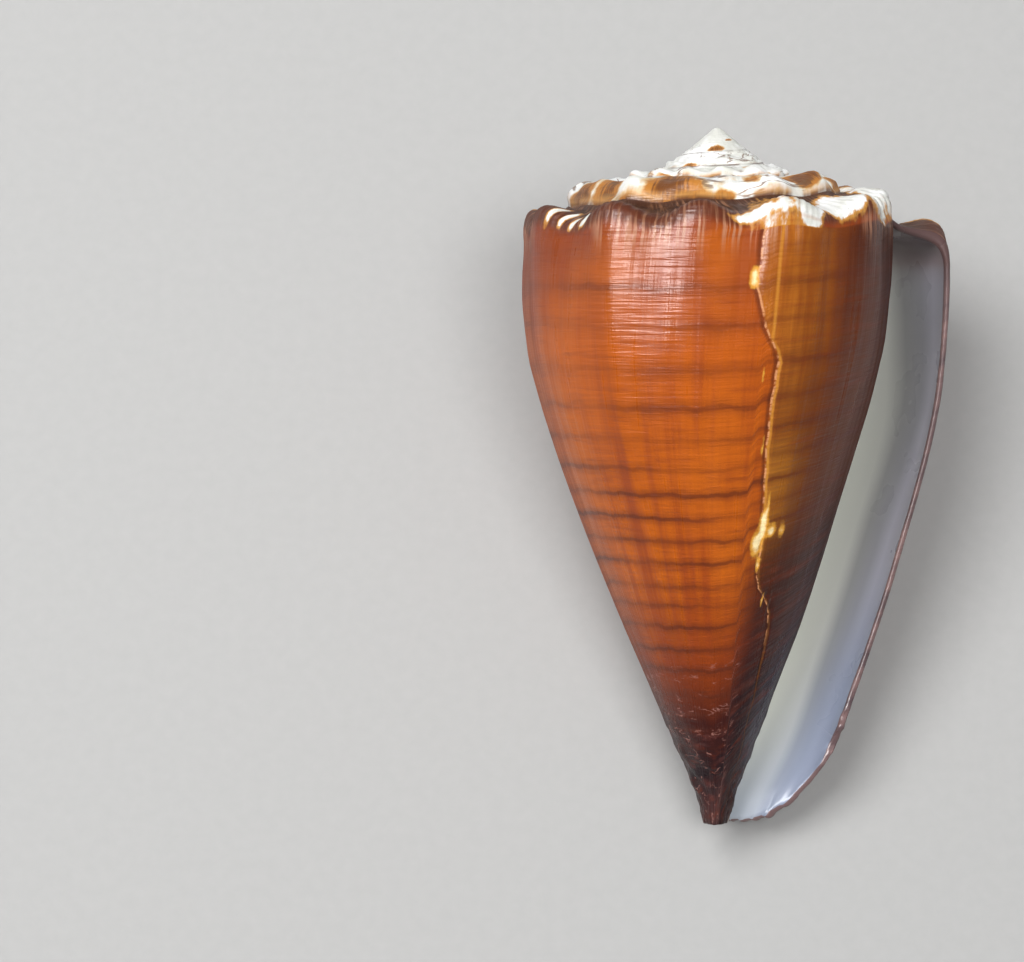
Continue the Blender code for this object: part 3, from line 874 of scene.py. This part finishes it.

# The break itself: a straight ochre line above, a jagged painted highlight along its raised old
# edge beside a painted shadow all the way down, and pale chips along it. Then the dull newest strip
# by the lip, with painted shadow in its groove.
BREAK_OCHRE = (0.56, 0.235, 0.030)
BREAK_SHADOW = (0.050, 0.012, 0.006)
BREAK_HIGHLIGHT = (0.60, 0.27, 0.12)
STRIP_BROWN = (0.125, 0.050, 0.030)
GROOVE_SHADOW = (0.060, 0.014, 0.012)
CHIP_OCHRE = (0.58, 0.27, 0.035)
CHIP_CREAM = (0.86, 0.70, 0.38)
ochre_line = glaze.rise(
    glaze.sums("ABSOLUTE", glaze.sums("ADD", turn, 0.7922)), 0.0003, 0.0024, 1.0, 0.0
)
ochre_line = glaze.times(ochre_line, glaze.rise(level, 18.0, 20.0, 0.55, 0.0))
low_line = glaze.rise(
    glaze.sums("ABSOLUTE", glaze.sums("ADD", brown_mark, -0.6)), 0.1, 0.8, 1.0, 0.0
)
low_line = glaze.times(low_line, glaze.rise(level, 18.0, 20.0))
low_line = glaze.times(low_line, glaze.rise(level, 33.0, 38.0, 0.62, 0.1))
light_line = glaze.times(glaze.sums("MAXIMUM", ochre_line, low_line), on_side)
body = glaze.mix(light_line, body, BREAK_OCHRE)
# Painted shadow beside the break's raised old edge, on its newer side.
break_shadow = glaze.rise(glaze.sums("ABSOLUTE", glaze.sums("ADD", brown_mark, 0.8)), 0.1, 1.5, 0.55, 0.0)
jag_place = glaze.at(glaze.times(turn, 70.0), glaze.times(level, 1.3), 2.0)
jags = glaze.rise(glaze.mottle(jag_place, 1.0, 3.0, 0.6), 0.40, 0.55)
in_break = glaze.times(on_side, glaze.rise(level, 44.0, 49.0, 1.0, 0.0))
in_break = glaze.times(in_break, glaze.rise(turn, -0.70, -0.74))
body = glaze.mix(glaze.times(break_shadow, in_break), body, BREAK_SHADOW)
# Painted highlight along the break's raised old edge, broken up by noise.
break_highlight = glaze.rise(glaze.sums("ABSOLUTE", brown_mark), 0.15, 0.55, 0.8, 0.0)
break_highlight = glaze.times(glaze.times(break_highlight, jags), in_break)
body = glaze.mix(break_highlight, body, BREAK_HIGHLIGHT)
strip = glaze.rise(turn, -0.0985, -0.0935)
body = glaze.mix(glaze.times(strip, 0.62), body, STRIP_BROWN)
# Painted shadow along the groove behind the lip.
groove_shadow = glaze.rise(
    glaze.sums("ABSOLUTE", glaze.sums("ADD", turn, 0.0995)), 0.0, 0.007, 0.8, 0.0
)
body = glaze.mix(groove_shadow, body, GROOVE_SHADOW)
chip_place = glaze.mottle(position, 1400.0, 3.0, 0.6)
chip_field = glaze.sums("MULTIPLY_ADD", chip_place, 0.6, glaze.sums("ADD", white_mark, -0.30))
chip_share = glaze.times(glaze.rise(chip_field, 0.26, 0.55), glaze.rise(along, 1.08, 1.10))
chip_tint = glaze.mix(glaze.rise(chip_field, 0.52, 0.84), CHIP_OCHRE, CHIP_CREAM)
body = glaze.mix(chip_share, body, chip_tint)

# The ramp of the last whorl: dark, with fine pale growth crescents that slant across it.
RAMP_DARK = (0.050, 0.018, 0.010)
RAMP_BROWN = (0.100, 0.024, 0.010)
CRESCENT_TAN = (0.32, 0.150, 0.080)
slant_x = glaze.sums("MULTIPLY_ADD", turn, 300.0, glaze.times(along, 5.0))
crescents = glaze.mottle(glaze.at(slant_x, glaze.times(along, 1.2), 1.0), 1.0, 2.0, 0.5)
crescent_zones = glaze.mottle(
    glaze.at(glaze.times(turn, 12.0), glaze.times(along, 1.5), 3.0), 1.0, 2.0
)
crescent_share = glaze.times(
    glaze.rise(crescents, 0.46, 0.64), glaze.rise(crescent_zones, 0.36, 0.66, 0.1, 0.8)
)
dark_brown = glaze.mix(glaze.rise(along, 0.3, 0.95), RAMP_DARK, RAMP_BROWN)
ramp_brown = glaze.mix(crescent_share, dark_brown, CRESCENT_TAN)

# The white of the spire, faintly greenish and grey by turns, with ragged ochre edges.
GREENISH_WHITE = (0.66, 0.66, 0.60)
CLEAR_WHITE = (0.90, 0.90, 0.89)
WHITE_MARGIN = (0.50, 0.235, 0.050)
white_cloud = glaze.mottle(position, 330.0, 4.0, 0.6)
white_tint = glaze.mix(glaze.rise(white_cloud, 0.35, 0.65), GREENISH_WHITE, CLEAR_WHITE)
edge_place = glaze.at(glaze.times(turn, 44.0), glaze.times(along, 2.6), 6.0)
ragged = glaze.sums("MULTIPLY_ADD", glaze.mottle(edge_place, 1.0, 4.0, 0.6), 1.1, -0.55)
ragged = glaze.sums("MULTIPLY_ADD", crescents, 0.26, glaze.sums("ADD", ragged, -0.13))
white_field = glaze.sums("ADD", white_mark, ragged)
white_share = glaze.rise(white_field, 0.50, 0.66)
cream_share = glaze.rise(white_field, 0.30, 0.50)
ramp = glaze.mix(cream_share, ramp_brown, WHITE_MARGIN)
ramp = glaze.mix(white_share, ramp, white_tint)

# Brown patches on the older whorls: ochre margins, orange-brown within, darkest in streaks.
PATCH_MARGIN = (0.62, 0.40, 0.150)
PATCH_ORANGE = (0.42, 0.165, 0.028)
PATCH_DARK = (0.115, 0.036, 0.012)
patch_place = glaze.at(glaze.times(turn, 24.0), glaze.times(along, 1.6), 8.0)
patches = glaze.sums("MULTIPLY_ADD", glaze.mottle(patch_place, 1.0, 4.0, 0.6), 1.5, -0.75)
patch_field = glaze.sums("ADD", brown_mark, patches)
on_older = glaze.rise(turn, -1.0, -0.965, 1.0, 0.0)
ramp = glaze.mix(
    glaze.times(glaze.rise(patch_field, 0.30, 0.52, 0.0, 0.8), on_older), ramp, PATCH_MARGIN
)
ramp = glaze.mix(glaze.times(glaze.rise(patch_field, 0.46, 0.64), on_older), ramp, PATCH_ORANGE)
dark_place = glaze.sums("MULTIPLY_ADD", crescents, 0.9, glaze.sums("ADD", patch_field, -0.45))
ramp = glaze.mix(
    glaze.times(glaze.rise(dark_place, 0.70, 1.05, 0.0, 0.85), on_older), ramp, PATCH_DARK
)

# Short wavy brown lines along the spiral, and painted shade as a dark line in most of the sutures.
WAVY_BROWN = (0.16, 0.080, 0.036)
SUTURE_SHADE = (0.080, 0.032, 0.016)
wavy_place = glaze.at(glaze.times(turn, 9.0), glaze.times(along, 3.2), 5.0)
wavy = glaze.mottle(wavy_place, 1.0, 3.0, 0.55)
wavy_line = glaze.rise(
    glaze.sums("ABSOLUTE", glaze.sums("ADD", wavy, -0.5)), 0.010, 0.034, 1.0, 0.0
)
wavy_where = glaze.rise(
    glaze.mottle(glaze.at(glaze.times(turn, 21.0), along, 2.0), 1.0, 2.0), 0.46, 0.58
)
wavy_share = glaze.times(glaze.times(wavy_line, wavy_where), glaze.rise(turn, -4.9, -4.2, 0.0, 0.8))
ramp = glaze.mix(glaze.times(wavy_share, on_older), ramp, WAVY_BROWN)
# Painted shade in the suture creases, broken in places.
suture_break = glaze.mottle(glaze.at(glaze.times(turn, 15.0), 0.0, 7.0), 1.0, 2.0)
suture = glaze.times(
    glaze.rise(along, 0.0, 0.12, 0.85, 0.0), glaze.rise(suture_break, 0.36, 0.52, 0.15, 1.0)
)
suture = glaze.times(suture, glaze.rise(turn, -4.6, -3.2))
ramp = glaze.mix(suture, ramp, SUTURE_SHADE)

# The tan and brown rim of each older whorl, then the crossing from the ramp to the side.
RIM_TAN = (0.50, 0.250, 0.070)
RIM_BROWN = (0.110, 0.038, 0.014)
EDGE_TAN = (0.44, 0.220, 0.130)
EDGE_OCHRE = (0.50, 0.215, 0.035)
MOUTH_WASH = (0.60, 0.60, 0.56)
rim_break = glaze.mottle(glaze.at(glaze.times(turn, 27.0), 0.0, 4.0), 1.0, 3.0, 0.6)
rim_share = glaze.times(
    glaze.rise(along, 0.78, 0.97), glaze.rise(rim_break, 0.38, 0.56, 0.15, 0.95)
)
rim_share = glaze.times(glaze.times(rim_share, on_older), glaze.rise(turn, -4.6, -2.6, 0.0, 1.0))
ramp = glaze.mix(rim_share, ramp, glaze.mix(glaze.rise(along, 0.90, 1.0), RIM_TAN, RIM_BROWN))
on_last = glaze.rise(turn, -1.0, -0.985)
outer_colour = glaze.mix(glaze.times(glaze.rise(along, 0.88, 1.03), on_last), ramp, body)
near_shoulder = glaze.times(glaze.rise(along, 0.90, 0.98), on_last)
just_below = glaze.times(near_shoulder, glaze.rise(along, 1.02, 1.06, 1.0, 0.0))
side_cream = glaze.times(near_shoulder, glaze.rise(along, 1.03, 1.12, 1.0, 0.0))
side_cream = glaze.times(side_cream, cream_share)
over_edge = glaze.times(near_shoulder, glaze.rise(along, 1.03, 1.13, 1.0, 0.0))
over_edge = glaze.times(over_edge, glaze.rise(crescent_zones, 0.42, 0.60, 0.0, 0.62))
over_edge = glaze.times(over_edge, glaze.rise(crescents, 0.46, 0.60))
outer_colour = glaze.mix(over_edge, outer_colour, EDGE_TAN)
outer_colour = glaze.mix(glaze.times(side_cream, 0.8), outer_colour, EDGE_OCHRE)
outer_colour = glaze.mix(glaze.times(white_share, just_below), outer_colour, white_tint)
# The old wall inside the mouth is washed over with the same pale glaze as the hollow.
inside_mouth = glaze.times(glaze.rise(turn, -1.018, -1.004, 1.0, 0.0), glaze.rise(along, 1.0, 1.01))
outer_colour = glaze.mix(inside_mouth, outer_colour, MOUTH_WASH)
glaze.set(glaze.surface.inputs["Base Color"], outer_colour)

# Worn duller at the shoulder and at the shell's outline, and glossier on the tip.
gloss = glaze.rise(glaze.mottle(streak_place, 2.0, 3.0), 0.3, 0.7, 0.26, 0.42)
chalky = glaze.rise(along, 0.9, 1.05, 0.08, 0.0)
edge_on = glaze.put("ShaderNodeLayerWeight", {"Blend": 0.5}, output=1)
worn = glaze.sums(
    "ADD", gloss, glaze.sums("ADD", chalky, glaze.rise(edge_on, 0.55, 0.95, 0.0, 0.40))
)
worn = glaze.sums("ADD", worn, glaze.rise(level, 46.0, 54.0, 0.0, -0.12))
glaze.set(glaze.surface.inputs["Roughness"], worn)
glaze.set(glaze.surface.inputs["Specular IOR Level"], 0.32)
glaze.set(glaze.surface.inputs["Coat Weight"], 0.12)
glaze.set(glaze.surface.inputs["Coat Roughness"], 0.14)
glaze.set(glaze.surface.inputs["IOR"], 1.53)
growth_place = glaze.at(glaze.times(turn, 330.0), glaze.times(along, 5.0), 2.0)
growth_lines = glaze.mottle(growth_place, 1.0, 3.0, 0.6)
ripple_place = glaze.at(glaze.times(turn, 16.0), glaze.times(level, 2.3), 7.0)
ripples = glaze.mottle(ripple_place, 1.0, 2.0, 0.6)
height = glaze.sums("MULTIPLY_ADD", ripples, 2.2, growth_lines)
relief_bump = glaze.put("ShaderNodeBump", {"Height": height, "Strength": 0.7, "Distance": 0.00006})
glaze.set(glaze.surface.inputs["Normal"], relief_bump)
glaze.set(glaze.surface.inputs["Coat Normal"], relief_bump)

# Inner face: smooth pale porcelain, greenish white deep inside, then a grey band of painted shade,
# then lavender towards the lip, with a thin brown margin on the lip's edge and a brown flush of
# painted shade under the ramp.
LIP_BLUE = (0.19, 0.235, 0.34)
FLUSH_SHADE = (0.22, 0.140, 0.125)
MARGIN_DARK = (0.070, 0.034, 0.030)
MARGIN_BROWN = (0.185, 0.100, 0.086)
lining = Finish("pale lining")
turn, along = lining.pattern_map("growth")
back, level = lining.pattern_map("bands")
position = lining.put("ShaderNodeTexCoord", {}, output=3)
cloud = lining.mottle(position, 160.0, 3.0)
drifting = lining.mottle(position, 70.0, 0.0)
shifted = lining.sums("ADD", turn, lining.sums("MULTIPLY_ADD", drifting, 0.03, -0.015))
# The grey stops in the middle of this line are painted shade.
tint = lining.shades(
    lining.rise(shifted, -0.14, 0.0),
    (
        (0.0, (0.78, 0.79, 0.71)),
        (0.35, (0.72, 0.72, 0.67)),
        (0.55, (0.37, 0.365, 0.365)),
        (0.75, (0.34, 0.335, 0.36)),
        (0.90, (0.42, 0.41, 0.47)),
        (1.0, (0.34, 0.33, 0.38)),
    ),
)
lip_blue = lining.times(lining.rise(level, 34.0, 50.0), lining.rise(back, 1.5, 7.5, 1.0, 0.0))
tint = lining.mix(lining.times(lip_blue, 0.72), tint, LIP_BLUE)
# Brownish painted shade under the ramp, on the ceiling of the mouth.
shade_flush = lining.times(
    lining.rise(along, 1.02, 1.14, 1.0, 0.0), lining.rise(turn, -0.20, -0.02, 0.1, 0.6)
)
tint = lining.mix(shade_flush, tint, FLUSH_SHADE)
margin_noise = lining.mottle(lining.at(0.0, level, 3.0), 0.55, 4.0, 0.6)
margin_reach = lining.sums("MULTIPLY_ADD", margin_noise, 0.5, 0.02)
margin = lining.rise(lining.sums("SUBTRACT", margin_reach, back), -0.05, 0.1)
margin_tint = lining.mix(lining.rise(margin_noise, 0.35, 0.65), MARGIN_DARK, MARGIN_BROWN)
margin_tint = lining.mix(lining.rise(level, 11.0, 17.0, 1.0, 0.0), margin_tint, MARGIN_DARK)
tint = lining.mix(lining.times(margin, 0.9), tint, margin_tint)
lining.set(lining.surface.inputs["Base Color"], tint)
lining.set(lining.surface.inputs["Roughness"], lining.rise(cloud, 0.3, 0.7, 0.26, 0.36))
lining.set(lining.surface.inputs["Specular IOR Level"], 0.4)
lining.set(lining.surface.inputs["Coat Weight"], 0.15)
lining.set(lining.surface.inputs["Coat Roughness"], 0.15)
lining.set(lining.surface.inputs["IOR"], 1.53)
lining_lines = lining.at(lining.times(turn, 160.0), lining.times(along, 3.0), 1.0)
lining_bump = lining.put(
    "ShaderNodeBump", {
        "Height": lining.mottle(lining_lines, 1.0, 2.0), "Strength": 0.25, "Distance": 0.00004
    }
)
lining.set(lining.surface.inputs["Normal"], lining_bump)
lining.set(lining.surface.inputs["Coat Normal"], lining_bump)

shell_mesh.materials.append(glaze.material)
shell_mesh.materials.append(lining.material)
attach(wound_shell, "root")
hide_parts("cone_shell")

# Floor: a wide sheet of pale matt board.
GROUND_RADIUS = 1.6
BOARD_TINTS = ((0.365, 0.363, 0.357), (0.40, 0.397, 0.39))
ground = bmesh.new()
bmesh.ops.create_circle(ground, cap_ends=True, segments=96, radius=GROUND_RADIUS)
ground_mesh = bpy.data.meshes.new("ground")
ground.to_mesh(ground_mesh)
ground.free()
floor = bpy.data.objects.new("ground", ground_mesh)
bpy.context.scene.collection.objects.link(floor)
board = Finish("pale board")
grain = board.mottle(board.put("ShaderNodeTexCoord", {}, output=3), 900.0, 3.0)
board.set(board.surface.inputs["Base Color"], board.mix(grain, *BOARD_TINTS))
board.set(board.surface.inputs["Roughness"], 0.75)
board_bump = board.put("ShaderNodeBump", {"Height": grain, "Strength": 0.2, "Distance": 0.0001})
board.set(board.surface.inputs["Normal"], board_bump)
ground_mesh.materials.append(board.material)

# Camera: looks down on the lying shell as the photograph looks at its mouth side, a little from
# the apex end, through a long lens.
VIEW_PITCH = math.radians(4.0)
VIEW_WIDTH = 87.9 * MM
LENS = 120.0
AIM_POINT = Vector((-17.5 * MM, 0.0, -30.2 * MM))
turned = LAID.to_3x3()
back = turned @ Vector((0.0, -math.cos(VIEW_PITCH), math.sin(VIEW_PITCH)))
up = turned @ Vector((0.0, math.sin(VIEW_PITCH), math.cos(VIEW_PITCH)))
right = up.cross(back)
aim = PLACE @ LAID @ AIM_POINT
camera_data = bpy.data.cameras.new("camera")
camera_data.lens = LENS
camera_data.clip_start = 0.01
camera_data.clip_end = 10.0
camera = bpy.data.objects.new("camera", camera_data)
distance = VIEW_WIDTH * LENS / camera_data.sensor_width
facing = Matrix((right, up, back)).transposed().to_4x4()
camera.matrix_world = Matrix.Translation(aim + back * distance) @ facing
bpy.context.scene.collection.objects.link(camera)
bpy.context.scene.camera = camera

# Light: round soft boxes. The key box is up and to the left, the shine box further left gives
# only the shine, and the front box is beside the camera. A wide panel hangs overhead in an
# even pale room.
SHELL_MIDDLE = Vector((0.0, 0.0, 0.015))
ROOM_TINT = (0.93, 0.95, 1.0, 1.0)
ROOM_STRENGTH = 0.17


def soft_box(name, left, high, away, size, power, lights=True, shines=False):
    """A round soft light, placed by its angles from the camera's line."""
    left, high = math.radians(left), math.radians(high)
    level_way = back * math.cos(left) - right * math.sin(left)
    direction = level_way * math.cos(high) + up * math.sin(high)
    light = bpy.data.lights.new(name, "AREA")
    light.shape = "DISK"
    light.size = size
    light.energy = power
    box = bpy.data.objects.new(name, light)
    box.location = SHELL_MIDDLE + direction * away
    box.rotation_euler = direction.to_track_quat("Z", "Y").to_euler()
    box.visible_diffuse = lights
    box.visible_glossy = shines
    bpy.context.scene.collection.objects.link(box)


soft_box("key box", left=24.0, high=24.0, away=0.5, size=0.30, power=2.5)
soft_box(
    "shine box", left=46.0, high=10.0, away=0.5, size=0.26, power=3.5, lights=False, shines=True
)
soft_box("front box", left=-10.0, high=3.0, away=0.6, size=0.25, power=1.95)
soft_box("ceiling panel", left=-4.0, high=8.0, away=1.6, size=2.6, power=4.5)
room = bpy.data.worlds.new("pale room")
room.use_nodes = True
room.node_tree.nodes["Background"].inputs["Color"].default_value = ROOM_TINT
room.node_tree.nodes["Background"].inputs["Strength"].default_value = ROOM_STRENGTH
bpy.context.scene.world = room
bpy.context.scene.view_settings.view_transform = "Standard"
